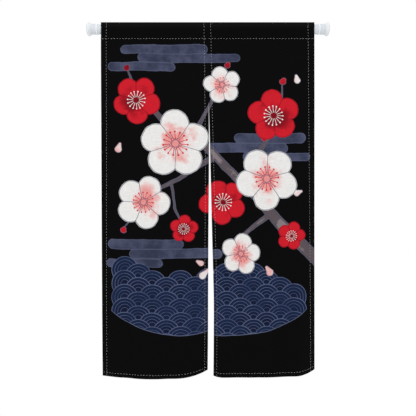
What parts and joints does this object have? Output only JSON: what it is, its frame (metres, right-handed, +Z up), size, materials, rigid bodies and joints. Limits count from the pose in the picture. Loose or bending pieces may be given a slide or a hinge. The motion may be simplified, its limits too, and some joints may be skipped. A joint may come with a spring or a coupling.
{
  "type": "noren curtain on tension rod",
  "caption": "Split doorway curtain, its panels sewn edge to edge at the top and parted below, hung by a stitched pocket on a telescoping tension rod with flared feet.",
  "frame": {"origin": "the middle of the left foot's flat end face, on the rod's axis", "axes": "+X along the rod to the right as seen from the front, +Y from the printed front to the back, +Z up the cloth"},
  "size_m": [0.976, 0.0556, 1.4331],
  "materials": {
    "cloth": "plain weave with a fine slub, dyed black and printed on the front",
    "thread": "white sewing thread",
    "tube": "white enamel, satin gloss",
    "cap": "moulded white plastic, satin gloss",
    "foot": "pale grey-white soft moulded pad"
  },
  "bodies": {
    "root": {"panel_left": "cloth", "panel_right": "cloth", "rod_outer_tube": "tube", "rod_inner_tube": "tube", "cap_left": "cap", "cap_right": "cap", "foot_left": "foot", "foot_right": "foot"}
  },
  "joints": []
}
